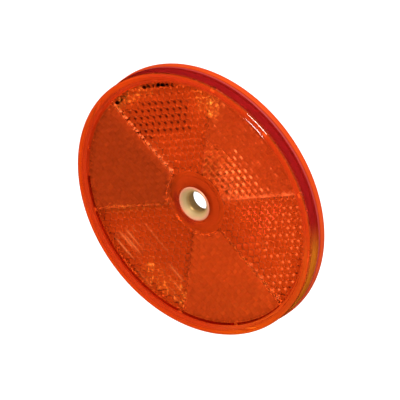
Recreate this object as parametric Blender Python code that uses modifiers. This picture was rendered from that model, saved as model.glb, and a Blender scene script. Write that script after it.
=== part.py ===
"""Round centre-mount reflex reflector, 83 mm across, for a post, a gate or a trailer.

A cup-shaped amber lens carries six sectors of prisms moulded on its back. A back cover closes the cup
from behind, and a rolled metal eyelet, clinched over a washer, lines the one screw hole and holds the
two mouldings together. A soft ring at the rim and a thin gasket at the hub keep water out.

The disc stands upright as it is mounted: +Z is up, the lens looks along -Y, and the origin is on the
screw hole's axis in the plane of the back face. Every piece is drawn in the disc's own frame, where z
is the height in front of the back face, and an empty at the origin turns that frame upright.
"""

import math

import bmesh
import bpy
from mathutils import Matrix

# Driving dimensions, in metres. Heights are measured forwards from the back face.
DISC_RADIUS = 0.0413  # the back cover's flange, the widest part
DISC_DEPTH = 0.0078  # from the back face to the crest of the lens rim
GAP = 0.0002  # clearance between pieces that touch

# Front lens
SKIRT_RADIUS = 0.0411
SKIRT_WALL = 0.0021
SKIRT_FOOT = 0.0027
RIM_ROUND = 0.0009
RIM_CREST_RADIUS = 0.0393  # where the flat crest meets the slope down to the face
RIM_SLOPE_WIDTH = 0.0009
FACE_HEIGHT = DISC_DEPTH - 0.0010
LENS_WALL = 0.0020
PRISM_HEIGHT = 0.0019
PRISM_INNER_RADIUS = 0.0100
PRISM_OUTER_RADIUS = 0.0380
PRISM_DRAFT = 0.0004
SEAT_DEPTH = 0.0004  # counterbore that the eyelet's lip sits in
SEAT_RADIUS = 0.00575
SECTORS = 6
FIRST_SECTOR_ANGLE = math.radians(22)
SEAM_WIDTH = 0.0005
SEAM_DEPTH = 0.0012

# Back cover
FLANGE_HEIGHT = 0.0019
FLANGE_CHAMFER = 0.0003
SPIGOT_HEIGHT = 0.0026
RECESS_DEPTH = 0.0007
RECESS_DRAFT = 0.0004
RECESS_INNER_RADIUS = 0.0130
RECESS_OUTER_RADIUS = 0.0340
RIB_WIDTH = 0.0012
WELL_MOUTH_RADIUS = 0.0074
WELL_FLOOR_RADIUS = 0.0070
WELL_WALL = 0.0016
HUB_BACK = 0.0032
HUB_FRONT = 0.00395

# Eyelet
BORE_RADIUS = 0.0031
EYELET_SHEET = 0.0003
LIP_ROUND = 0.00045
LIP_RADIUS = 0.0055
LIP_CENTRE_HEIGHT = FACE_HEIGHT - 0.0002
FUNNEL_ROUND = 0.0010
CLINCH_ROUND = 0.0009
CLINCH_START = 0.0030  # where the straight bore ends and the clinched flare begins
CLINCH_RADIUS = 0.0045

# Washer and seals
HUB_HOLE_RADIUS = BORE_RADIUS + EYELET_SHEET + 0.00035
WASHER_RADIUS = 0.0062
WASHER_THICKNESS = 0.0004
GASKET_RADIUS = 0.0082
RIM_SEAL_INSET = 0.0003

# How finely round shapes are divided
DISC_STEPS = 72
HUB_STEPS = 36
ARC_STEPS = 4
SMOOTH_ANGLE = math.radians(35)


def clear_scene():
    for obj in list(bpy.data.objects):
        bpy.data.objects.remove(obj)


def add_collection(name):
    made = bpy.data.collections.new(name)
    bpy.context.scene.collection.children.link(made)
    return made


def add_stand():
    """The empty that turns the disc's own frame upright, so that the lens looks along -Y."""
    stand = bpy.data.objects.new("reflector_stand", None)
    parts.objects.link(stand)
    stand.rotation_euler = (math.radians(90), 0.0, 0.0)
    return stand


def material(name, colour, roughness, metallic=0.0, transmission=0.0):
    made = bpy.data.materials.new(name)
    made.use_nodes = True
    made.diffuse_color = (*colour, 1.0)
    shader = made.node_tree.nodes["Principled BSDF"]
    shader.inputs["Base Color"].default_value = (*colour, 1.0)
    shader.inputs["Roughness"].default_value = roughness
    shader.inputs["Metallic"].default_value = metallic
    shader.inputs["Transmission Weight"].default_value = transmission
    return made


def arc(centre_radius, centre_height, radius, start, end):
    """Points on a round stretch of a profile, from one angle to another in degrees."""
    points = []
    for step in range(ARC_STEPS + 1):
        angle = math.radians(start + (end - start) * step / ARC_STEPS)
        across = centre_radius + radius * math.cos(angle)
        points.append((across, centre_height + radius * math.sin(angle)))
    return points


def turned(name, profile, steps, finish, closed=True):
    """An object whose profile of (radius, height) points is turned about the disc's axis."""
    count = len(profile)
    edges = [(i, (i + 1) % count) for i in range(count if closed else count - 1)]
    mesh = bpy.data.meshes.new(name)
    mesh.from_pydata([(radius, 0.0, height) for radius, height in profile], edges, [])
    mesh.materials.append(finish)
    obj = bpy.data.objects.new(name, mesh)
    parts.objects.link(obj)
    obj.parent = stand
    screw = obj.modifiers.new("turn", "SCREW")
    screw.steps = steps
    screw.render_steps = steps
    return obj


def spokes(name, inner, outer, width, low, high):
    """Radial bars, one along each sector boundary, in one helper object for a Boolean."""
    bm = bmesh.new()
    for sector in range(SECTORS):
        bar = bmesh.ops.create_cube(bm, size=1.0)["verts"]
        bmesh.ops.scale(bm, vec=(outer - inner, width, high - low), verts=bar)
        bmesh.ops.translate(bm, vec=((inner + outer) / 2, 0.0, (low + high) / 2), verts=bar)
        angle = FIRST_SECTOR_ANGLE + sector * 2 * math.pi / SECTORS
        bmesh.ops.transform(bm, matrix=Matrix.Rotation(angle, 4, "Z"), verts=bar)
    mesh = bpy.data.meshes.new(name)
    bm.to_mesh(mesh)
    bm.free()
    obj = bpy.data.objects.new(name, mesh)
    cutters.objects.link(obj)
    obj.parent = stand
    obj.hide_render = True
    obj.display_type = "WIRE"
    return obj


def combine(obj, helper, operation):
    boolean = obj.modifiers.new(helper.name, "BOOLEAN")
    boolean.operation = operation
    boolean.solver = "EXACT"
    boolean.object = helper


def settle(obj):
    """Applies the modifiers and shades the round faces smooth."""
    graph = bpy.context.evaluated_depsgraph_get()
    mesh = bpy.data.meshes.new_from_object(obj.evaluated_get(graph))
    obj.modifiers.clear()
    obj.data = mesh
    mesh.name = obj.name
    mesh.shade_smooth()
    mesh.set_sharp_from_angle(angle=SMOOTH_ANGLE)


def build_front_lens():
    """A cup open to the back: raised rim, sunk face, skirt, and the prism field behind the face."""
    wall_back = FACE_HEIGHT - LENS_WALL
    prism_tips = wall_back - PRISM_HEIGHT
    inside = SKIRT_RADIUS - SKIRT_WALL
    seat_floor = FACE_HEIGHT - SEAT_DEPTH
    cone_radius = SEAT_RADIUS - 0.00075
    cone_foot = seat_floor - (cone_radius - HUB_HOLE_RADIUS)
    profile = arc(SKIRT_RADIUS - RIM_ROUND, DISC_DEPTH - RIM_ROUND, RIM_ROUND, 90, 0)
    profile += [
        (SKIRT_RADIUS, SKIRT_FOOT),
        (inside, SKIRT_FOOT),
        (inside, wall_back),
        (PRISM_OUTER_RADIUS, wall_back),
        (PRISM_OUTER_RADIUS - PRISM_DRAFT, prism_tips),
        (PRISM_INNER_RADIUS + PRISM_DRAFT, prism_tips),
        (PRISM_INNER_RADIUS, wall_back),
        (HUB_HOLE_RADIUS, wall_back),
        (HUB_HOLE_RADIUS, cone_foot),
        (cone_radius, seat_floor),
        (SEAT_RADIUS, seat_floor),
        (SEAT_RADIUS, FACE_HEIGHT),
        (RIM_CREST_RADIUS - RIM_SLOPE_WIDTH, FACE_HEIGHT),
        (RIM_CREST_RADIUS, DISC_DEPTH),
    ]
    amber = material("amber_acrylic", (0.60, 0.075, 0.006), 0.08, transmission=0.8)
    lens = turned("front_lens", profile, DISC_STEPS, amber)
    overlap = 0.001
    seams = spokes(
        "sector_seams",
        PRISM_INNER_RADIUS - overlap / 2,
        PRISM_OUTER_RADIUS + overlap / 2,
        SEAM_WIDTH,
        prism_tips - overlap,
        prism_tips + SEAM_DEPTH,
    )
    combine(lens, seams, "DIFFERENCE")
    settle(lens)


def build_back_cover():
    """A dished plate: flange, spigot that enters the skirt, thin hub in a well, and ribs behind."""
    spigot_radius = SKIRT_RADIUS - SKIRT_WALL - GAP - 0.0001
    edge = DISC_RADIUS - FLANGE_CHAMFER
    profile = [
        (edge, FLANGE_HEIGHT),
        (DISC_RADIUS, FLANGE_HEIGHT - FLANGE_CHAMFER),
        (DISC_RADIUS, FLANGE_CHAMFER),
        (edge, 0.0),
        (RECESS_OUTER_RADIUS, 0.0),
        (RECESS_OUTER_RADIUS - RECESS_DRAFT, RECESS_DEPTH),
        (RECESS_INNER_RADIUS + RECESS_DRAFT, RECESS_DEPTH),
        (RECESS_INNER_RADIUS, 0.0),
        (WELL_MOUTH_RADIUS, 0.0),
        (WELL_FLOOR_RADIUS, HUB_BACK),
        (HUB_HOLE_RADIUS, HUB_BACK),
        (HUB_HOLE_RADIUS, HUB_FRONT),
        (WELL_FLOOR_RADIUS + WELL_WALL, HUB_FRONT),
        (WELL_MOUTH_RADIUS + WELL_WALL, SPIGOT_HEIGHT),
        (spigot_radius, SPIGOT_HEIGHT),
        (spigot_radius, FLANGE_HEIGHT),
    ]
    amber = material("cover_acrylic", (0.52, 0.065, 0.008), 0.3)
    cover = turned("back_cover", profile, DISC_STEPS, amber)
    overlap = 0.0006
    ribs = spokes(
        "back_ribs",
        RECESS_INNER_RADIUS - overlap,
        RECESS_OUTER_RADIUS + overlap,
        RIB_WIDTH,
        RECESS_DEPTH / 4,
        RECESS_DEPTH + overlap,
    )
    combine(cover, ribs, "UNION")
    settle(cover)


def build_eyelet():
    """Thin sheet rolled over the lens at the front, drawn through as a tube and flared behind."""
    slant = math.sqrt(0.5)
    lip = arc(LIP_RADIUS - LIP_ROUND, LIP_CENTRE_HEIGHT, LIP_ROUND, 0, 135)
    throat_radius = BORE_RADIUS + FUNNEL_ROUND
    mouth_radius, mouth_height = lip[-1]
    funnel_foot = mouth_height - (mouth_radius - (throat_radius - FUNNEL_ROUND * slant))
    throat = arc(throat_radius, funnel_foot - FUNNEL_ROUND * slant, FUNNEL_ROUND, 135, 180)
    flare = arc(BORE_RADIUS + CLINCH_ROUND, CLINCH_START, CLINCH_ROUND, 180, 270)
    path = lip + throat + flare + [(CLINCH_RADIUS, CLINCH_START - CLINCH_ROUND)]
    metal = material("eyelet_metal", (0.86, 0.74, 0.56), 0.35, metallic=0.8)
    eyelet = turned("eyelet", path, HUB_STEPS, metal, closed=False)
    sheet = eyelet.modifiers.new("sheet", "SOLIDIFY")
    sheet.thickness = EYELET_SHEET
    sheet.offset = 1.0
    settle(eyelet)


def build_ring(name, inner, outer, low, high, steps, finish):
    profile = [(outer, high), (outer, low), (inner, low), (inner, high)]
    settle(turned(name, profile, steps, finish))


def build_eyelet_washer():
    metal = material("washer_metal", (0.78, 0.74, 0.68), 0.4, metallic=0.9)
    front = HUB_BACK - GAP
    back = front - WASHER_THICKNESS
    build_ring("eyelet_washer", HUB_HOLE_RADIUS, WASHER_RADIUS, back, front, HUB_STEPS, metal)


def build_hub_gasket():
    rubber = material("gasket_rubber", (0.16, 0.012, 0.006), 0.6)
    back = HUB_FRONT + GAP
    front = FACE_HEIGHT - LENS_WALL - GAP
    build_ring("hub_gasket", HUB_HOLE_RADIUS, GASKET_RADIUS, back, front, HUB_STEPS, rubber)


def build_rim_seal():
    sealant = material("rim_sealant", (0.45, 0.10, 0.02), 0.5)
    inner = SKIRT_RADIUS - SKIRT_WALL + RIM_SEAL_INSET
    outer = SKIRT_RADIUS - RIM_SEAL_INSET
    back = FLANGE_HEIGHT + GAP
    front = SKIRT_FOOT - GAP
    build_ring("rim_seal", inner, outer, back, front, DISC_STEPS, sealant)


clear_scene()
parts = add_collection("round_reflector")
cutters = add_collection("cutters")
stand = add_stand()
build_front_lens()
build_back_cover()
build_eyelet()
build_eyelet_washer()
build_hub_gasket()
build_rim_seal()
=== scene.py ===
"""Looks of the round centre-mount reflector: clear amber mouldings, rolled eyelet, studio."""
import math

import bmesh
import bpy
from mathutils import Matrix, Vector


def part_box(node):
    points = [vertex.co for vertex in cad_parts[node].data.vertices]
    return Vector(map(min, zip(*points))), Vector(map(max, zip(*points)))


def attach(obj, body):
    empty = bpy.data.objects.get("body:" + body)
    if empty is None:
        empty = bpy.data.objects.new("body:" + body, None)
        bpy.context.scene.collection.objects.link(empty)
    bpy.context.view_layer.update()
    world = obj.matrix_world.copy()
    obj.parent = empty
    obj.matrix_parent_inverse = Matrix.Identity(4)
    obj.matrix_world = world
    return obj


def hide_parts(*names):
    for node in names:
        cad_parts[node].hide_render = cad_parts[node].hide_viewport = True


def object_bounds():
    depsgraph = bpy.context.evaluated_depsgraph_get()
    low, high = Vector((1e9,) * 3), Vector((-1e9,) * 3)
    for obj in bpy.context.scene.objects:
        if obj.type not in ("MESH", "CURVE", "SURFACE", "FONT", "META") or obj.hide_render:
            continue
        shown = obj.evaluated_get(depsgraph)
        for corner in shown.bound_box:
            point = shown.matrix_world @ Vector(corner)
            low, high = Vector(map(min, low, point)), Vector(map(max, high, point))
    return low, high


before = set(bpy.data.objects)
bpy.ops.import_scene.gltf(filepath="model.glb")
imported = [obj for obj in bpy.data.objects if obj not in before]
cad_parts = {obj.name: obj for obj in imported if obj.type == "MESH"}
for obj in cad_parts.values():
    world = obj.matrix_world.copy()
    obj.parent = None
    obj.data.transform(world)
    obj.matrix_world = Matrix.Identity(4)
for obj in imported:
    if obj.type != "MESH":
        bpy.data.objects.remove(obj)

cad_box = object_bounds()
MM = 0.001

# ---------------------------------------------------------------------------------------------
# Front lens. One injection moulding in clear amber acrylic: a smooth face sunk inside a raised
# rim, a skirt that reaches back to the cover, and on the back of the face six sectors of
# cube-corner prisms, which are turned half round from each sector to the next.

DISC_STEPS = 192
lens_low, lens_high = (Vector(corner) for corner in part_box("front_lens"))
SKIRT_RADIUS = lens_high.x
RIM_CREST = -lens_low.y
SKIRT_FOOT = -lens_high.y
SKIRT_INSIDE = SKIRT_RADIUS - 2.1 * MM
RIM_ROUND = 0.9 * MM
RIM_FOOT_RADIUS = 38.4 * MM
RIM_TOP_RADIUS = 39.3 * MM
LENS_EDGE = 0.15 * MM
FACE = RIM_CREST - 1.0 * MM
FACE_BACK = FACE - 2.0 * MM
EYELET_SEAT_RADIUS = 5.75 * MM
EYELET_SEAT_FLOOR = FACE - 0.4 * MM
EYELET_CONE_RADIUS = 5.0 * MM
EYELET_CONE_DEPTH = 1.25 * MM
HUB_HOLE_RADIUS = 3.75 * MM
PRISM_PITCH = 2.4 * MM
ROW_STEP = PRISM_PITCH * math.sqrt(3) / 2
PRISM_EDGE = PRISM_PITCH / math.sqrt(2)
PRISM_LEVEL = PRISM_EDGE / math.sqrt(3)
PRISM_CORNER_RADIUS = PRISM_PITCH / math.sqrt(3)
PRISM_PLINTH = 0.02 * MM
PRISM_ROOT = FACE_BACK + 0.1 * MM
PRISM_INNER_RADIUS = 10.0 * MM
PRISM_OUTER_RADIUS = 38.0 * MM
PRISM_WELD = 0.01 * MM
PRISM_SHARP_ANGLE = 30
HEXAGON = 6
SECTORS = 6
FIRST_SECTOR = math.radians(22)
SEAM_ANGLE = math.radians(0.12)
SAME_POINT = 1e-7
UPRIGHT = Matrix.Rotation(math.radians(90), 4, "X")


def arc(centre_radius, centre_height, radius, start, end, steps=6):
    """Profile points on a round stretch, from one angle to another in degrees."""
    points = []
    for step in range(steps + 1):
        angle = math.radians(start + (end - start) * step / steps)
        across = centre_radius + radius * math.cos(angle)
        points.append((across, centre_height + radius * math.sin(angle)))
    return points


def rounded(corners, radius, steps=3, most=0.45):
    """A closed profile with its marked corners rounded. A corner is (radius, height, how round).

    No rounding takes more than the given share of a side.
    """
    points = []
    count = len(corners)
    for i, (r, z, share) in enumerate(corners):
        here = Vector((r, z))
        before = Vector(corners[i - 1][:2]) - here
        after = Vector(corners[(i + 1) % count][:2]) - here
        cut = min(radius * share, before.length * most, after.length * most)
        if cut == 0:
            points.append((r, z))
            continue
        start = here + before.normalized() * cut
        end = here + after.normalized() * cut
        for step in range(steps + 1):
            t = step / steps
            point = start * (1 - t) ** 2 + here * 2 * t * (1 - t) + end * t * t
            points.append((point.x, point.y))
    return points


def turned(profile, steps, closed=True):
    """A bmesh of the (radius, height) profile turned once round the disc's axis."""
    bm = bmesh.new()
    verts = [bm.verts.new((radius, 0.0, height)) for radius, height in profile]
    pairs = list(zip(verts, verts[1:] + verts[:1])) if closed else list(zip(verts, verts[1:]))
    edges = [bm.edges.new(pair) for pair in pairs]
    bmesh.ops.spin(
        bm,
        geom=verts + edges,
        cent=(0, 0, 0),
        axis=(0, 0, 1),
        angle=2 * math.pi,
        steps=steps,
        use_merge=True,
    )
    bmesh.ops.remove_doubles(bm, verts=bm.verts, dist=SAME_POINT)
    bmesh.ops.recalc_face_normals(bm, faces=bm.faces)
    return bm


def shade(mesh, sharp_angle=35):
    """Shades the mesh smooth, except over edges sharper than the angle in degrees."""
    mesh.shade_smooth()
    mesh.set_sharp_from_angle(angle=math.radians(sharp_angle))


def add_piece(name, bm):
    """Makes the bmesh an upright object."""
    bmesh.ops.transform(bm, matrix=UPRIGHT, verts=bm.verts)
    mesh = bpy.data.meshes.new(name)
    bm.to_mesh(mesh)
    bm.free()
    shade(mesh)
    piece = bpy.data.objects.new(name, mesh)
    bpy.context.scene.collection.objects.link(piece)
    return piece


def settle(piece):
    """Makes the piece's modifiers part of its mesh."""
    graph = bpy.context.evaluated_depsgraph_get()
    mesh = bpy.data.meshes.new_from_object(piece.evaluated_get(graph))
    piece.modifiers.clear()
    piece.data = mesh
    mesh.name = piece.name


def combine(piece, helpers, operation):
    """Joins the helpers to the piece, or cuts it with them, and removes them."""
    for helper in helpers:
        boolean = piece.modifiers.new(helper.name, "BOOLEAN")
        boolean.operation = operation
        boolean.solver = "EXACT"
        boolean.object = helper
    settle(piece)
    for helper in helpers:
        bpy.data.objects.remove(helper)


def sector_start(sector):
    return FIRST_SECTOR + sector * 2 * math.pi / SECTORS


def repeat(bm, shifts):
    """Copies all that is in the bmesh by each of the shifts."""
    whole = bm.faces[:] + bm.edges[:] + bm.verts[:]
    for shift in shifts:
        copy = bmesh.ops.duplicate(bm, geom=whole)["geom"]
        verts = [item for item in copy if isinstance(item, bmesh.types.BMVert)]
        bmesh.ops.translate(bm, vec=shift, verts=verts)


def either_side(reach, step):
    """The whole numbers that take a step as far as the reach both ways, without 0."""
    last = math.ceil(reach / step) + 1
    return [number for number in range(-last, last + 1) if number != 0]


def prism_slab(half_turned):
    """A slab whose lower side is a lattice of cube corners, wide enough for the whole disc."""
    bm = bmesh.new()
    bmesh.ops.create_circle(
        bm, cap_ends=True, cap_tris=True, segments=HEXAGON, radius=PRISM_CORNER_RADIUS
    )
    tips = FACE_BACK - PRISM_PLINTH - 2 * PRISM_LEVEL
    bm.verts.ensure_lookup_table()
    for vert in bm.verts:
        if vert.co.length < PRISM_CORNER_RADIUS / 2:
            vert.co.z = tips
            continue
        angle = math.degrees(math.atan2(vert.co.y, vert.co.x))
        corner = math.floor(angle / (360 / HEXAGON))
        deep = (corner % 2 == 0) == half_turned
        vert.co.z = tips + PRISM_LEVEL * (1 if deep else 2)
    # create_circle starts at +Y, so the hexagon's flats face +X and the rows run along X.
    columns = either_side(PRISM_OUTER_RADIUS, PRISM_PITCH)
    repeat(bm, [(column * PRISM_PITCH, 0, 0) for column in columns])
    rows = either_side(PRISM_OUTER_RADIUS, ROW_STEP)
    repeat(bm, [((row % 2) * PRISM_PITCH / 2, row * ROW_STEP, 0) for row in rows])
    bmesh.ops.remove_doubles(bm, verts=bm.verts, dist=PRISM_WELD)
    top = bmesh.ops.extrude_face_region(bm, geom=bm.faces[:])["geom"]
    for item in top:
        if isinstance(item, bmesh.types.BMVert):
            item.co.z = PRISM_ROOT
    bmesh.ops.rotate(bm, matrix=Matrix.Rotation(FIRST_SECTOR, 3, "Z"), verts=bm.verts)
    bmesh.ops.recalc_face_normals(bm, faces=bm.faces)
    return add_piece("prism_slab", bm)


def sector_blocks(first):
    """Every second 60-degree block of the prism field, as solids to cut a slab with."""
    bm = bmesh.new()
    below_tips = FACE_BACK - 4 * PRISM_LEVEL
    inside_face = FACE_BACK + 1 * MM
    turn = 2 * math.pi / SECTORS - SEAM_ANGLE
    for sector in range(first, SECTORS, 2):
        start = sector_start(sector) + SEAM_ANGLE / 2
        corners = [
            (PRISM_INNER_RADIUS, below_tips),
            (PRISM_OUTER_RADIUS, below_tips),
            (PRISM_OUTER_RADIUS, inside_face),
            (PRISM_INNER_RADIUS, inside_face),
        ]
        verts = [bm.verts.new((r, 0.0, z)) for r, z in corners]
        bmesh.ops.rotate(bm, matrix=Matrix.Rotation(start, 3, "Z"), verts=verts)
        face = bm.faces.new(verts)
        bmesh.ops.spin(
            bm,
            geom=[face],
            cent=(0, 0, 0),
            axis=(0, 0, 1),
            angle=turn,
            steps=DISC_STEPS // SECTORS,
        )
    bmesh.ops.recalc_face_normals(bm, faces=bm.faces)
    return add_piece("sector_blocks", bm)


def prism_sectors(first):
    """The prisms of every second sector, from the given one."""
    slab = prism_slab(half_turned=first == 1)
    combine(slab, [sector_blocks(first)], "INTERSECT")
    return slab


lens_profile = arc(SKIRT_RADIUS - RIM_ROUND, RIM_CREST - RIM_ROUND, RIM_ROUND, 90, 0, steps=8)
lens_profile += rounded(
    [
        (SKIRT_RADIUS, SKIRT_FOOT, 1),
        (SKIRT_INSIDE, SKIRT_FOOT, 1),
        (SKIRT_INSIDE, FACE_BACK, 1),
        (HUB_HOLE_RADIUS, FACE_BACK, 1),
        (HUB_HOLE_RADIUS, EYELET_SEAT_FLOOR - EYELET_CONE_DEPTH, 0),
        (EYELET_CONE_RADIUS, EYELET_SEAT_FLOOR, 0),
        (EYELET_SEAT_RADIUS, EYELET_SEAT_FLOOR, 0),
        (EYELET_SEAT_RADIUS, FACE, 1),
        (RIM_FOOT_RADIUS, FACE, 2),
        (RIM_TOP_RADIUS, RIM_CREST, 2),
    ],
    LENS_EDGE,
)
front_lens = add_piece("front_lens_visual", turned(lens_profile, DISC_STEPS))
combine(front_lens, [prism_sectors(0), prism_sectors(1)], "UNION")
shade(front_lens.data, PRISM_SHARP_ANGLE)


class Signal:
    """A socket of a finish, which takes part in sums with numbers and other signals."""

    def __init__(self, finish, socket):
        self.finish = finish
        self.socket = socket

    def sum(self, operation, first, second):
        return self.finish.node("Math", {0: first, 1: second}, operation=operation)

    def __add__(self, other):
        return self.sum("ADD", self, other)

    def __radd__(self, other):
        return self.sum("ADD", other, self)

    def __sub__(self, other):
        return self.sum("SUBTRACT", self, other)

    def __rsub__(self, other):
        return self.sum("SUBTRACT", other, self)

    def __mul__(self, other):
        return self.sum("MULTIPLY", self, other)

    def __rmul__(self, other):
        return self.sum("MULTIPLY", other, self)

    def __pow__(self, other):
        return self.sum("POWER", self, other)


class Finish:
    """A procedural material: its node tree, with one Principled shader."""

    def __init__(self, name, **constants):
        self.material = bpy.data.materials.new(name)
        self.material.use_nodes = True
        self.tree = self.material.node_tree
        self.shader = self.tree.nodes["Principled BSDF"]
        for socket, value in constants.items():
            self.shader.inputs[socket.replace("_", " ")].default_value = value

    def node(self, kind, inputs=None, output=0, **settings):
        made = self.tree.nodes.new("ShaderNode" + kind)
        for name, value in settings.items():
            setattr(made, name, value)
        for key, value in (inputs or {}).items():
            self.feed(made.inputs[key], value)
        return Signal(self, made.outputs[output])

    def feed(self, socket, value):
        if isinstance(value, Signal):
            self.tree.links.new(value.socket, socket)
        else:
            socket.default_value = value

    def place(self):
        return self.node("TexCoord", output="Object")

    def noise(self, scale, detail=3.0, place=None):
        return self.node(
            "TexNoise", {"Vector": place or self.place(), "Scale": scale, "Detail": detail}
        )

    def wander(self, least, spread, scale, detail=3.0):
        """A value that wanders over the surface, from its least upwards."""
        return least + self.noise(scale, detail=detail) * spread

    def mix(self, factor, first, second):
        return self.node("Mix", {0: factor, 6: first, 7: second}, output=2, data_type="RGBA")

    def mottle(self, scale, first, second):
        """Two colours in soft clouds."""
        return self.mix(self.noise(scale), first, second)

    def split(self, vector):
        axes = self.node("SeparateXYZ", {"Vector": vector}).socket.node
        return [Signal(self, socket) for socket in axes.outputs]

    def wrap(self, value, low, high):
        """The value brought between low and high by whole steps of their distance."""
        return self.node("Math", {0: value, 1: high, 2: low}, operation="WRAP")

    def polar(self):
        """Distance from the disc's axis, and angle round it from +X towards +Z."""
        x, _, z = self.split(self.place())
        self.radius = (x * x + z * z) ** 0.5
        self.angle = self.node("Math", {0: z, 1: x}, operation="ARCTAN2")

    def patch(self, inner, outer, first, last, soft=1.5, fade=3.0):
        """1 inside a part of the disc, else 0. Radii are in mm and angles in degrees.

        Its round borders are soft by so many mm, and its straight ones by so many degrees.
        """
        inner = inner * MM
        outer = outer * MM
        soft = soft * MM
        width = math.radians(last - first)
        fade = math.radians(fade)
        turn = self.wrap(self.angle - math.radians(first) + fade, 0.0, 2 * math.pi)
        ring = self.step(self.radius, inner - soft, inner)
        ring = ring * (1 - self.step(self.radius, outer, outer + soft))
        sides = 1 - self.step(turn, width + fade, width + 2 * fade)
        return ring * sides * self.step(turn, 0.0, fade)

    def step(self, value, low, high):
        """0 below low and 1 above high, with a smooth change between them."""
        inputs = {"Value": value, "From Min": low, "From Max": high}
        return self.node("MapRange", inputs, interpolation_type="SMOOTHSTEP")

    def clamp(self, value):
        return self.node("Clamp", {"Value": value})

    def apply(self, colour, roughness, height=None, distance=0.0):
        self.feed(self.shader.inputs["Base Color"], colour)
        self.feed(self.shader.inputs["Roughness"], roughness)
        if height is not None:
            bump = self.node("Bump", {"Height": height, "Distance": distance, "Strength": 1.0})
            self.feed(self.shader.inputs["Normal"], bump)

    def finish(self, piece, *looks, **relief):
        self.apply(*looks, **relief)
        piece.data.materials.clear()
        piece.data.materials.append(self.material)


# Painted light and shade on the face: paler towards the right and the top, deeper at the left
# and the foot, with a painted shadow beside the eyelet and painted glowing streaks at the lower
# left.
# Each place is (inner radius, outer radius, first angle, last angle), for patch.
ACRYLIC_IOR = 1.57
BLACK = (0.0, 0.0, 0.0, 1.0)
FACE_AMBER = (0.84, 0.074, 0.0088, 1.0)
FACE_AMBER_PAINTED_LIGHT = (0.98, 0.084, 0.0097, 1.0)
FACE_AMBER_PAINTED_SHADE = (0.60, 0.057, 0.0075, 1.0)
FACE_EYELET_SHADOW = (0.38, 0.012, 0.010, 1.0)
FACE_STREAK_GLOW = (0.36, 0.12, 0.035, 1.0)
LIGHT_RAMP_ANGLE = math.radians(15)
LIGHT_RAMP_START = -4 * MM
LIGHT_RAMP_END = 22 * MM
CLOUD_SCALE = 45.0
CLOUD_DRIFT = 6 * MM
PAINTED_LIGHT_TOP = (9, 37, 88, 136)
PAINTED_SHADE_LEFT = (9, 37, 149, 198)
PAINTED_SHADE_FOOT = (29, 37, 268, 312)
PAINTED_SHADE_FOOT_SHARE = 0.35
STREAK_GLOW_PLACE = (22, 33.5, 218, 258)
STREAK_GLOW_ANGLE = math.radians(142)
STREAK_GLOW_SCALE = 1100.0
STREAK_GLOW_STRETCH = 0.05
EYELET_SHADOW_PLACE = (5.3, 6.8, 178, 258)
EYELET_SHADOW_SHARE = 0.75
acrylic = Finish(
    "lens_acrylic", Transmission_Weight=1.0, IOR=ACRYLIC_IOR, Emission_Strength=1.0
)
acrylic.polar()
x, _, z = acrylic.split(acrylic.place())
cloud = acrylic.noise(CLOUD_SCALE) * CLOUD_DRIFT
# Painted light: the face is paler towards the right and the top.
painted_light = acrylic.step(
    x * math.cos(LIGHT_RAMP_ANGLE) + z * math.sin(LIGHT_RAMP_ANGLE) + cloud, LIGHT_RAMP_START, LIGHT_RAMP_END
)
painted_light = painted_light + (1 - painted_light) * acrylic.patch(*PAINTED_LIGHT_TOP, soft=3, fade=8)
# Painted shade: the face is deeper in the left sector and at the foot.
deep = acrylic.patch(*PAINTED_SHADE_LEFT, soft=3, fade=8)
deep = deep + acrylic.patch(*PAINTED_SHADE_FOOT, soft=6, fade=8) * PAINTED_SHADE_FOOT_SHARE
# Painted glints: thin streaks at the lower left, which glow through the Emission Color.
across_streaks = x * math.sin(STREAK_GLOW_ANGLE) - z * math.cos(STREAK_GLOW_ANGLE)
along_streaks = x * math.cos(STREAK_GLOW_ANGLE) + z * math.sin(STREAK_GLOW_ANGLE)
streak_place = acrylic.node(
    "CombineXYZ", {0: across_streaks, 1: along_streaks * STREAK_GLOW_STRETCH}
)
streak_glow = acrylic.step(
    acrylic.noise(STREAK_GLOW_SCALE, detail=1.0, place=streak_place), 0.59, 0.65
)
streak_glow = streak_glow * acrylic.patch(*STREAK_GLOW_PLACE, soft=3, fade=6)
# Painted shadow: a crimson patch beside the eyelet, at its lower left.
eyelet_shadow = acrylic.patch(*EYELET_SHADOW_PLACE, soft=1.2, fade=25) * EYELET_SHADOW_SHARE
face_light_and_shade = acrylic.mix(deep, acrylic.mix(painted_light, FACE_AMBER, FACE_AMBER_PAINTED_LIGHT), FACE_AMBER_PAINTED_SHADE)
acrylic.finish(
    front_lens,
    acrylic.mix(eyelet_shadow, face_light_and_shade, FACE_EYELET_SHADOW),
    acrylic.wander(least=0.005, spread=0.03, scale=900.0, detail=6.0),
)
acrylic.feed(
    acrylic.shader.inputs["Emission Color"], acrylic.mix(streak_glow, BLACK, FACE_STREAK_GLOW)
)

# Painted light along the rim's crest from the upper left round to the foot, and a painted dark
# line of shade at its outer corner.
RIM_AMBER = (0.70, 0.058, 0.007, 1.0)
RIM_PAINTED_LIGHT = (0.95, 0.100, 0.004, 1.0)
RIM_PAINTED_SHADE = (0.34, 0.050, 0.004, 1.0)
CREST_RADIUS = 39.9 * MM
OUTLINE_START = 40.85 * MM
OUTLINE_END = 41.2 * MM
BEYOND_EDGE = 50
LIT_CREST_PLACE = (0, BEYOND_EDGE, 128, 300)
rim = Finish("rim_acrylic", Transmission_Weight=0.72, IOR=ACRYLIC_IOR)
rim.polar()
# Painted light: the crest is brighter from the upper left round to the foot.
crest_light = rim.step(rim.radius, RIM_TOP_RADIUS, CREST_RADIUS)
crest_light = crest_light * rim.wander(least=0.6, spread=0.5, scale=120.0)
crest_light = crest_light * rim.patch(*LIT_CREST_PLACE, fade=24)
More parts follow.
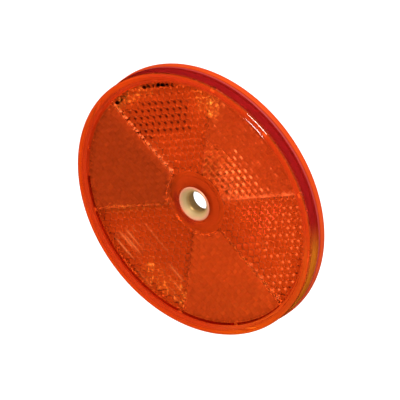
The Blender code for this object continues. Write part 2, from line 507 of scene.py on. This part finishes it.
# Painted shade: a dark line at the rim's outer corner.
rim_edge_shade = rim.step(rim.radius, OUTLINE_START, OUTLINE_END)
rim.apply(
    rim.mix(rim_edge_shade, rim.mix(crest_light, RIM_AMBER, RIM_PAINTED_LIGHT), RIM_PAINTED_SHADE),
    rim.wander(least=0.03, spread=0.04, scale=700.0),
)

# Painted glints glow at the tips of some prisms and along seams, and painted shade darkens the
# tips in one part and a row of spots at the outer edge. In two sectors, and in the outer part of
# a third, the prisms are frosted, which hides their pattern, and they carry a little painted
# shade.
PRISM_CLEAR = (0.99, 0.97, 0.93, 1.0)
PRISM_CLEAR_DEEP = (0.97, 0.94, 0.88, 1.0)
PRISM_SHADE = (0.16, 0.06, 0.04, 1.0)
PRISM_FROSTED_SHADE = (0.95, 0.93, 0.91, 1.0)
EDGE_SHADE = (0.02, 0.01, 0.01, 1.0)
FLASH = (1.0, 0.60, 0.50, 1.0)
FLASH_GOLD = (1.0, 0.85, 0.30, 1.0)
SPOT_CORE = 0.6
SPOT_LEAN = math.radians(120)
FINE_SPOT = 0.26 * MM
FINE_SPOT_STRETCH = 1.7
BROAD_SPOT = 0.36 * MM
BROAD_SPOT_STRETCH = 1.9
BROAD_FLASHES = (13, 25, 25, 58)
FINE_FLASHES = (24, 37, -36, 16)
SCATTERED_FLASHES = (12, 36, 22, 82)
DOTTED_SEAM = 142
DOTTED_SEAM_PLACE = (12, 36, 130, 154)
SEAM_SPOT = 0.30 * MM
SEAM_SPOT_SPACING = 2.45 * MM
LINED_SEAM = 22
LINED_SEAM_PLACE = (11, 37, 12, 32)
SEAM_LINE_WIDTH = 0.16 * MM
GOLD_GLINTS = (
    {"place": (31, 36, 238, 261), "fade": 3.0, "share": 0.9},
    {"place": (31, 36, 78, 90), "fade": 3.0, "share": 1.0},
    {"place": (35, 36.5, 118, 140), "fade": 3.0, "share": 0.8},
    {"place": (12, 34, 201, 204), "fade": 1.5, "share": 0.35},
)
EDGE_SPOT = 0.78 * MM
EDGE_SPOT_RADIUS = 36.8 * MM
EDGE_SPOT_HALF_SPACING = 0.9 * MM
EDGE_SPOT_ROWS = ((35.5, 38, 102, 121), (35.5, 38, 134, 141))
FROSTED_PLACES = ((23, 37, 24, 80), (12, 37, 145, 199), (12, 37, 265, 319))
SHADED_TIPS_PLACE = (23, 32, 98, 141)
SHADED_TIP_METALLIC = 0.7
PRISM_POLISH = 0.02
FROSTING = 0.5
CUT_ENDS = PRISM_OUTER_RADIUS - 0.1 * MM
CUT_ENDS_BLEND = 0.05 * MM
prism = Finish(
    "prism_acrylic", Transmission_Weight=0.9, IOR=ACRYLIC_IOR, Emission_Strength=1.0
)
prism.polar()
x, _, z = prism.split(prism.place())
along_rows = x * math.cos(FIRST_SECTOR) + z * math.sin(FIRST_SECTOR)
across_rows = z * math.cos(FIRST_SECTOR) - x * math.sin(FIRST_SECTOR)


def spot(reach, size):
    """1 where a squared distance is less than the size, with a soft edge."""
    return 1 - prism.step(reach ** 0.5, size * SPOT_CORE, size)


def corner_spots(size, stretch, lean):
    """Oval spots at the tips of the prisms, drawn out at the given angle to the rows."""
    reaches = []
    for half in (0, 1):
        u = prism.wrap(along_rows + half * PRISM_PITCH / 2, -PRISM_PITCH / 2, PRISM_PITCH / 2)
        v = prism.wrap(across_rows + half * ROW_STEP, -ROW_STEP, ROW_STEP)
        long_way = (u * math.cos(lean) + v * math.sin(lean)) * (1 / stretch)
        short_way = v * math.cos(lean) - u * math.sin(lean)
        reaches.append(long_way * long_way + short_way * short_way)
    return spot(prism.node("Math", {0: reaches[0], 1: reaches[1]}, operation="MINIMUM"), size)


def aside_from(seam):
    """Distance from the line of a seam, which lies at the given angle in degrees."""
    return z * math.cos(math.radians(seam)) - x * math.sin(math.radians(seam))


def seam_spots(seam, size, spacing):
    """A row of round spots along one seam between two sectors."""
    aside = aside_from(seam)
    on = prism.wrap(prism.radius, -spacing / 2, spacing / 2)
    return spot(aside * aside + on * on, size)


def seam_line(seam, width):
    """A thin line along one seam."""
    aside = aside_from(seam)
    return spot(aside * aside, width)


fine_spots = corner_spots(FINE_SPOT, FINE_SPOT_STRETCH, SPOT_LEAN)
spots = corner_spots(BROAD_SPOT, BROAD_SPOT_STRETCH, SPOT_LEAN)
dotted_seam = seam_spots(DOTTED_SEAM, SEAM_SPOT, SEAM_SPOT_SPACING)
lined_seam = seam_line(LINED_SEAM, SEAM_LINE_WIDTH)
grain = prism.noise(260.0, detail=1.0)
lively = prism.step(grain, 0.38, 0.55)
sparse = prism.step(prism.noise(1100.0, detail=2.0), 0.58, 0.66)
# Painted glints: the flashes and the gold glints glow through the Emission Color.
painted_flash = (
    spots * prism.patch(*BROAD_FLASHES) * (0.2 + lively * 0.55)
    + fine_spots * prism.patch(*FINE_FLASHES) * (lively * 0.6)
    + spots * sparse * prism.patch(*SCATTERED_FLASHES) * 0.4
    + dotted_seam * prism.patch(*DOTTED_SEAM_PLACE) * 0.8
    + lined_seam * prism.patch(*LINED_SEAM_PLACE) * (0.1 + lively * 0.2)
)
painted_gold_glint = sparse * sum(
    prism.patch(*glint["place"], fade=glint["fade"]) * glint["share"] for glint in GOLD_GLINTS
)
# Painted shade: a row of near-black, metallic spots along the outer edge of the prism field.
edge_aside = prism.wrap(
    prism.angle * EDGE_SPOT_RADIUS, -EDGE_SPOT_HALF_SPACING, EDGE_SPOT_HALF_SPACING
)
edge_rise = prism.radius - EDGE_SPOT_RADIUS
shaded_edge_spots = spot(edge_aside * edge_aside + edge_rise * edge_rise, EDGE_SPOT)
shaded_edge_spots = shaded_edge_spots * sum(prism.patch(*row, fade=1.5) for row in EDGE_SPOT_ROWS)
frosted = sum(prism.patch(*place, soft=2) for place in FROSTED_PLACES)
clear = prism.mix(grain, PRISM_CLEAR, PRISM_CLEAR_DEEP)
# Painted shade: the frosted prisms are painted a little darker.
clear = prism.mix(frosted, clear, PRISM_FROSTED_SHADE)
# Painted shade: dark tips in the upper-left sector, also made partly metallic to darken them.
shaded_tips = spots * prism.patch(*SHADED_TIPS_PLACE)
shaded = prism.mix(shaded_tips, clear, PRISM_SHADE)
prism.apply(prism.mix(shaded_edge_spots, shaded, EDGE_SHADE), PRISM_POLISH + frosted * FROSTING)
prism.feed(
    prism.shader.inputs["Emission Color"],
    prism.mix(painted_gold_glint, prism.mix(painted_flash, BLACK, FLASH), FLASH_GOLD),
)
at_cut_ends = prism.step(prism.radius, CUT_ENDS, CUT_ENDS + CUT_ENDS_BLEND)
prism.feed(
    prism.shader.inputs["Metallic"],
    prism.clamp(at_cut_ends + shaded_edge_spots + shaded_tips * SHADED_TIP_METALLIC + frosted),
)

# The skirt's outer wall is clear. Its inner wall is painted an opaque pale colour, painted light
# that stands in for light carried round inside the acrylic. Both have painted golden light at
# the lower right.
SKIRT_CLEAR = (0.37, 0.016, 0.026, 1.0)
SKIRT_PAINTED_LIGHT = (0.75, 0.28, 0.03, 1.0)
LINING_PAINTED_LIGHT = (0.98, 0.62, 0.50, 1.0)
LINING_PAINTED_LIGHT_DEEP = (0.92, 0.52, 0.45, 1.0)
LINING_PAINTED_GOLD = (0.95, 0.80, 0.50, 1.0)
LINING_ROUGHNESS = 0.7
LIT_SIDE_PLACE = (0, BEYOND_EDGE, 290, 352)
LIT_SIDE_FADE = 18
# Painted light: golden at the lower right, on the outer wall and on the inner wall.
skirt = Finish("skirt_acrylic", Transmission_Weight=1.0, IOR=ACRYLIC_IOR)
skirt.polar()
skirt.apply(
    skirt.mix(skirt.patch(*LIT_SIDE_PLACE, fade=LIT_SIDE_FADE), SKIRT_CLEAR, SKIRT_PAINTED_LIGHT),
    skirt.wander(least=0.02, spread=0.03, scale=90.0),
)
# Painted light: the inner wall is opaque and pale, standing in for light carried inside the
# acrylic.
inner_wall_light = Finish("skirt_painted_light", Specular_IOR_Level=0.0)
inner_wall_light.polar()
inner_wall_light.apply(
    inner_wall_light.mix(
        inner_wall_light.patch(*LIT_SIDE_PLACE, fade=LIT_SIDE_FADE),
        inner_wall_light.mottle(70.0, LINING_PAINTED_LIGHT, LINING_PAINTED_LIGHT_DEEP),
        LINING_PAINTED_GOLD,
    ),
    LINING_ROUGHNESS,
)

for zone in (rim, prism, skirt, inner_wall_light):
    front_lens.data.materials.append(zone.material)
FACE_ZONE, RIM_ZONE, PRISM_ZONE, SKIRT_ZONE, INNER_WALL_ZONE = range(5)
RIM_START = 38.3 * MM
SKIRT_WALL = SKIRT_RADIUS - 0.15 * MM
ROUNDING_START = RIM_CREST - 1.0 * MM
for face in front_lens.data.polygons:
    radius = math.hypot(face.center.x, face.center.z)
    height = -face.center.y
    if radius > SKIRT_WALL and height < ROUNDING_START:
        face.material_index = SKIRT_ZONE
    elif radius > RIM_START and height < FACE_BACK:
        face.material_index = INNER_WALL_ZONE
    elif radius > RIM_START:
        face.material_index = RIM_ZONE
    elif radius > EYELET_SEAT_RADIUS and height < FACE_BACK + PRISM_PLINTH:
        face.material_index = PRISM_ZONE
    else:
        face.material_index = FACE_ZONE
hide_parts("front_lens")
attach(front_lens, "root")

# ---------------------------------------------------------------------------------------------
# Back cover. A satin amber moulding: a dished plate whose spigot enters the skirt, with a thin
# hub at the bottom of a well, and on its sunk back six low ribs with an ejector pin's shallow
# round mark in each bay between two of them. It is fused to the lens.

cover_low, cover_high = (Vector(corner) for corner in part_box("back_cover"))
FLANGE_RADIUS = cover_high.x
SPIGOT_RADIUS = SKIRT_INSIDE - 0.3 * MM
SPIGOT_FRONT = 2.6 * MM
FLANGE_FRONT = 1.9 * MM
HUB_FRONT = -cover_low.y
HUB_BACK = HUB_FRONT - 0.75 * MM
RECESS = 0.7 * MM
RECESS_MOUTH_RADIUS = 34.0 * MM
RECESS_FLOOR_RADIUS = 33.6 * MM
BOSS_FOOT_RADIUS = 13.4 * MM
BOSS_RADIUS = 13.0 * MM
WELL_MOUTH_RADIUS = 7.4 * MM
WELL_FLOOR_RADIUS = 7.0 * MM
HUB_RADIUS = 8.6 * MM
HUB_FOOT_RADIUS = 9.0 * MM
COVER_EDGE = 0.25 * MM

cover_profile = rounded(
    [
        (FLANGE_RADIUS, FLANGE_FRONT, 1.5),
        (FLANGE_RADIUS, 0.0, 1.5),
        (RECESS_MOUTH_RADIUS, 0.0, 0.6),
        (RECESS_FLOOR_RADIUS, RECESS, 0.6),
        (BOSS_FOOT_RADIUS, RECESS, 0.6),
        (BOSS_RADIUS, 0.0, 0.6),
        (WELL_MOUTH_RADIUS, 0.0, 1),
        (WELL_FLOOR_RADIUS, HUB_BACK, 1.5),
        (HUB_HOLE_RADIUS, HUB_BACK, 0.4),
        (HUB_HOLE_RADIUS, HUB_FRONT, 0.4),
        (HUB_RADIUS, HUB_FRONT, 1),
        (HUB_FOOT_RADIUS, SPIGOT_FRONT, 1),
        (SPIGOT_RADIUS, SPIGOT_FRONT, 0.6),
        (SPIGOT_RADIUS, FLANGE_FRONT, 0.6),
    ],
    COVER_EDGE,
)
back_cover = add_piece("back_cover_visual", turned(cover_profile, DISC_STEPS))

RIB_WIDTH = 1.2 * MM
RIB_LENGTH = 22.2 * MM
RIB_MIDDLE = 23.5 * MM
RIB_BACK = RECESS / 4
RIB_ROOT = RECESS + 0.6 * MM
RIB_EDGE = 0.2 * MM
ribs = bmesh.new()
for sector in range(SECTORS):
    bar = bmesh.ops.create_cube(ribs, size=1.0)["verts"]
    bmesh.ops.scale(ribs, vec=(RIB_LENGTH, RIB_WIDTH, RIB_ROOT - RIB_BACK), verts=bar)
    bmesh.ops.translate(ribs, vec=(RIB_MIDDLE, 0, (RIB_ROOT + RIB_BACK) / 2), verts=bar)
    turn = Matrix.Rotation(sector_start(sector), 4, "Z")
    bmesh.ops.transform(ribs, matrix=turn, verts=bar)
bmesh.ops.bevel(
    ribs,
    geom=ribs.edges[:],
    offset=RIB_EDGE,
    offset_type="OFFSET",
    segments=3,
    profile=0.5,
    affect="EDGES",
    material=-1,
)

PIN_RADIUS = 1.6 * MM
PIN_DEPTH = 0.25 * MM
PIN_DISTANCE = 26 * MM
PIN_STEPS = 48
pins = bmesh.new()
for sector in range(SECTORS):
    pin = bmesh.ops.create_cone(
        pins,
        cap_ends=True,
        segments=PIN_STEPS,
        radius1=PIN_RADIUS,
        radius2=PIN_RADIUS,
        depth=2 * PIN_DEPTH,
    )["verts"]
    bmesh.ops.translate(pins, vec=(PIN_DISTANCE, 0, RECESS), verts=pin)
    turn = Matrix.Rotation(sector_start(sector + 0.5), 4, "Z")
    bmesh.ops.transform(pins, matrix=turn, verts=pin)
combine(back_cover, [add_piece("back_ribs", ribs)], "UNION")
combine(back_cover, [add_piece("pin_marks", pins)], "DIFFERENCE")
shade(back_cover.data)

# The etched outside is scuffed where it lies on the post. The inside is pale.
COVER_AMBER = (0.53, 0.046, 0.001, 1.0)
COVER_AMBER_DEEP = (0.42, 0.032, 0.001, 1.0)
COVER_SCUFFED = (0.70, 0.13, 0.04, 1.0)
COVER_INSIDE = (0.92, 0.80, 0.60, 1.0)
PAST_WELL = (7.8 * MM, 8.2 * MM)
ABOVE_FLANGE = (2.2 * MM, 2.5 * MM)
HUB_TOP = (3.6 * MM, 3.8 * MM)
CONTACT = (0.01 * MM, 0.06 * MM)
ETCHING_DEPTH = 0.02 * MM
SCUFF_SHARE = 0.5
SCUFF_ROUGHNESS = 0.2
satin = Finish("cover_acrylic", IOR=1.49, Specular_IOR_Level=0.1)
satin.polar()
_, y, _ = satin.split(satin.place())
depth = y * -1.0
inside = satin.step(depth, *ABOVE_FLANGE) * satin.step(satin.radius, *PAST_WELL)
inside = satin.clamp(inside + satin.step(depth, *HUB_TOP))
etched = satin.noise(2600.0, detail=4.0)
contact = 1 - satin.step(depth, *CONTACT)
scuffed = contact * satin.step(satin.noise(800.0, detail=8.0), 0.50, 0.72)
outside = satin.mix(
    scuffed * SCUFF_SHARE, satin.mottle(90.0, COVER_AMBER, COVER_AMBER_DEEP), COVER_SCUFFED
)
satin.finish(
    back_cover,
    satin.mix(inside, outside, COVER_INSIDE),
    0.38 + etched * 0.2 + scuffed * SCUFF_ROUGHNESS,
    height=etched,
    distance=ETCHING_DEPTH,
)
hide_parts("back_cover")
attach(back_cover, "root")

# ---------------------------------------------------------------------------------------------
# Eyelet. A bush of thin yellow-passivated sheet metal that lines the screw hole. Its lip is
# rolled over the lens, its tube is drawn through the hub, and its end is flared behind to hold.

BORE_RADIUS = 3.1 * MM
BUSH_STEPS = 96
EYELET_SHEET = 0.3 * MM
LIP_ROUND = 0.35 * MM
LIP_RADIUS = 5.3 * MM
LIP_CENTRE_HEIGHT = FACE - 0.2 * MM
FUNNEL_ROUND = 1.0 * MM
CLINCH_ROUND = 0.9 * MM
CLINCH_START = 3.0 * MM
CLINCH_RADIUS = 4.5 * MM
SLANT = math.sqrt(0.5)
lip = arc(LIP_RADIUS - LIP_ROUND, LIP_CENTRE_HEIGHT, LIP_ROUND, 0, 135, steps=10)
mouth_radius, mouth_height = lip[-1]
throat_radius = BORE_RADIUS + FUNNEL_ROUND
funnel_foot = mouth_height - (mouth_radius - (throat_radius - FUNNEL_ROUND * SLANT))
throat = arc(throat_radius, funnel_foot - FUNNEL_ROUND * SLANT, FUNNEL_ROUND, 135, 180)
flare = arc(BORE_RADIUS + CLINCH_ROUND, CLINCH_START, CLINCH_ROUND, 180, 270, steps=8)
sheet_path = lip + throat + flare + [(CLINCH_RADIUS, CLINCH_START - CLINCH_ROUND)]
eyelet = add_piece("eyelet_visual", turned(sheet_path, BUSH_STEPS, closed=False))
sheet = eyelet.modifiers.new("sheet", "SOLIDIFY")
sheet.thickness = EYELET_SHEET
sheet.offset = -1.0
settle(eyelet)
# The lip carries a painted reflection of the amber lens, and the bore a painted shade. The
# funnel between them keeps the sheet's khaki.
LIP_PAINTED_REFLECTION = (0.92, 0.40, 0.22, 1.0)
FUNNEL_TINT = (0.70, 0.46, 0.20, 1.0)
BORE_PAINTED_SHADE = (0.52, 0.32, 0.11, 1.0)
LIP_BLEND = (3.9 * MM, 5.1 * MM)
THROAT_BLEND = (3.25 * MM, 3.9 * MM)
metal = Finish("eyelet_metal", Metallic=0.5)
metal.polar()
# Noise that shifts the borders of the painted reflection and shade.
border_jitter = metal.noise(700.0) * (0.8 * MM) - 0.4 * MM
lip_reflection_mask = metal.step(metal.radius + border_jitter, *LIP_BLEND)
past_throat = metal.step(metal.radius + border_jitter * 0.5, *THROAT_BLEND)
metal.finish(
    eyelet,
    metal.mix(lip_reflection_mask, metal.mix(past_throat, BORE_PAINTED_SHADE, FUNNEL_TINT), LIP_PAINTED_REFLECTION),
    metal.wander(least=0.30, spread=0.18, scale=1500.0),
)
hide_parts("eyelet")
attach(eyelet, "root")

# ---------------------------------------------------------------------------------------------
# Washer. A flat ring stamped from plain sheet metal. It lies in the well of the cover, under
# the eyelet's flare, which clamps it there.

washer_low, washer_high = (Vector(corner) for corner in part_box("eyelet_washer"))
STAMPED_EDGE = 0.08 * MM
WASHER_GREY = (0.78, 0.74, 0.66, 1.0)
WASHER_GREY_DEEP = (0.66, 0.60, 0.50, 1.0)


def ring(name, low, high, inner, edge, steps):
    """A square-sided ring between two corners of a box, with a hole and eased edges."""
    corners = [
        (high.x, -low.y, 1),
        (high.x, -high.y, 1),
        (inner, -high.y, 1),
        (inner, -low.y, 1),
    ]
    return add_piece(name, turned(rounded(corners, edge), steps))


washer = ring(
    "eyelet_washer_visual", washer_low, washer_high, HUB_HOLE_RADIUS, STAMPED_EDGE, BUSH_STEPS
)
stamped = Finish("washer_metal", Metallic=0.45)
stamped.finish(
    washer,
    stamped.mottle(500.0, WASHER_GREY, WASHER_GREY_DEEP),
    stamped.wander(least=0.35, spread=0.2, scale=1800.0),
)
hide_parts("eyelet_washer")
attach(washer, "root")

# ---------------------------------------------------------------------------------------------
# Hub gasket. A thin ring cut from soft pale rubber sheet. The eyelet squeezes it between the
# back of the lens and the front of the cover's hub, so that no water gets in by the hole.

gasket_low, gasket_high = (Vector(corner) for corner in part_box("hub_gasket"))
GASKET_EDGE = 0.08 * MM
GASKET_PALE = (0.86, 0.72, 0.64, 1.0)
GASKET_DUSKY = (0.78, 0.62, 0.54, 1.0)
gasket = ring(
    "hub_gasket_visual", gasket_low, gasket_high, HUB_HOLE_RADIUS, GASKET_EDGE, BUSH_STEPS
)
soft = Finish("gasket_rubber")
soft.finish(
    gasket,
    soft.mottle(600.0, GASKET_PALE, GASKET_DUSKY),
    soft.wander(least=0.6, spread=0.2, scale=1500.0),
)
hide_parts("hub_gasket")
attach(gasket, "root")

# ---------------------------------------------------------------------------------------------
# Rim seal. A bead of red sealant that is run round the joint between the foot of the skirt and
# the cover's flange, where it cures in place.

seal_low, seal_high = (Vector(corner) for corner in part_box("rim_seal"))
SEAL_GAP = 0.01 * MM
SEAL_EDGE = 0.15 * MM
SEAL_RED = (0.42, 0.020, 0.012, 1.0)
SEAL_RED_DEEP = (0.30, 0.012, 0.012, 1.0)
SEAL_INSIDE = SKIRT_INSIDE + 0.3 * MM
seal_high.x = SKIRT_RADIUS - 0.1 * MM
seal_low.y = -SKIRT_FOOT + SEAL_GAP
seal_high.y = -FLANGE_FRONT - SEAL_GAP
seal = ring("rim_seal_visual", seal_low, seal_high, SEAL_INSIDE, SEAL_EDGE, DISC_STEPS)
cured = Finish("rim_sealant")
cured.finish(
    seal,
    cured.mottle(250.0, SEAL_RED, SEAL_RED_DEEP),
    cured.wander(least=0.45, spread=0.2, scale=900.0),
)
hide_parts("rim_seal")
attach(seal, "root")

# ---------------------------------------------------------------------------------------------
# Studio. A plain pale paper floor well below the disc, two soft round lamps and a pale
# surround. Of these, only the top lamp shows in polished surfaces.

CAMERA_AZIMUTH = math.radians(35.6)
CAMERA_ELEVATION = math.radians(29.7)
LENS_LENGTH = 1500.0
SENSOR_WIDTH = 36.0
VIEW_WIDTH = 0.1151
centre = (Vector(cad_box[0]) + Vector(cad_box[1])) / 2
toward_camera = Vector(
    (
        math.sin(CAMERA_AZIMUTH) * math.cos(CAMERA_ELEVATION),
        -math.cos(CAMERA_AZIMUTH) * math.cos(CAMERA_ELEVATION),
        math.sin(CAMERA_ELEVATION),
    )
)
camera_data = bpy.data.cameras.new("camera")
camera_data.lens = LENS_LENGTH
camera_data.sensor_width = SENSOR_WIDTH
camera_data.clip_start = 0.01
camera = bpy.data.objects.new("camera", camera_data)
camera.location = centre + toward_camera * (VIEW_WIDTH * LENS_LENGTH / SENSOR_WIDTH)
camera.rotation_euler = toward_camera.to_track_quat("Z", "Y").to_euler()
bpy.context.scene.collection.objects.link(camera)
bpy.context.scene.camera = camera

FLOOR_DROP = 0.16
FLOOR_REACH = 3.0
PAPER_WHITE = (0.9, 0.9, 0.9, 1.0)
PAPER_ROUGHNESS = 0.9
floor_mesh = bpy.data.meshes.new("floor")
floor_bm = bmesh.new()
bmesh.ops.create_grid(floor_bm, x_segments=2, y_segments=2, size=FLOOR_REACH)
bmesh.ops.translate(floor_bm, vec=(0, 0, -FLOOR_DROP), verts=floor_bm.verts)
floor_bm.to_mesh(floor_mesh)
floor_bm.free()
floor = bpy.data.objects.new("floor", floor_mesh)
bpy.context.scene.collection.objects.link(floor)
Finish("paper").finish(floor, PAPER_WHITE, PAPER_ROUGHNESS)
floor.visible_glossy = False


def softbox(name, place, size, power):
    """A round soft lamp that faces the middle of the disc."""
    data = bpy.data.lights.new(name, "AREA")
    data.shape = "DISK"
    data.size = size
    data.energy = power
    lamp = bpy.data.objects.new(name, data)
    lamp.location = Vector(place)
    lamp.rotation_euler = (Vector(place) - centre).to_track_quat("Z", "Y").to_euler()
    bpy.context.scene.collection.objects.link(lamp)
    return lamp


softbox("top_lamp", place=(0.42, -0.2, 0.88), size=0.35, power=9.6)
left_lamp = softbox("left_lamp", place=(-0.9, -0.6, 0.4), size=0.6, power=4.0)
left_lamp.visible_glossy = False

SURROUND_WHITE = (0.97, 0.98, 1.0, 1.0)
SURROUND_STRENGTH = 1.12
world = bpy.data.worlds.new("surround")
bpy.context.scene.world = world
world.use_nodes = True
surround = world.node_tree.nodes["Background"].inputs
surround["Strength"].default_value = SURROUND_STRENGTH
surround["Color"].default_value = SURROUND_WHITE
world.cycles_visibility.glossy = False

# Light is turned back many times between the prisms before it leaves the lens.
light_paths = bpy.context.scene.cycles
light_paths.max_bounces = 32
light_paths.glossy_bounces = 24
light_paths.transmission_bounces = 24
light_paths.diffuse_bounces = 5
bpy.context.scene.view_settings.view_transform = "Standard"
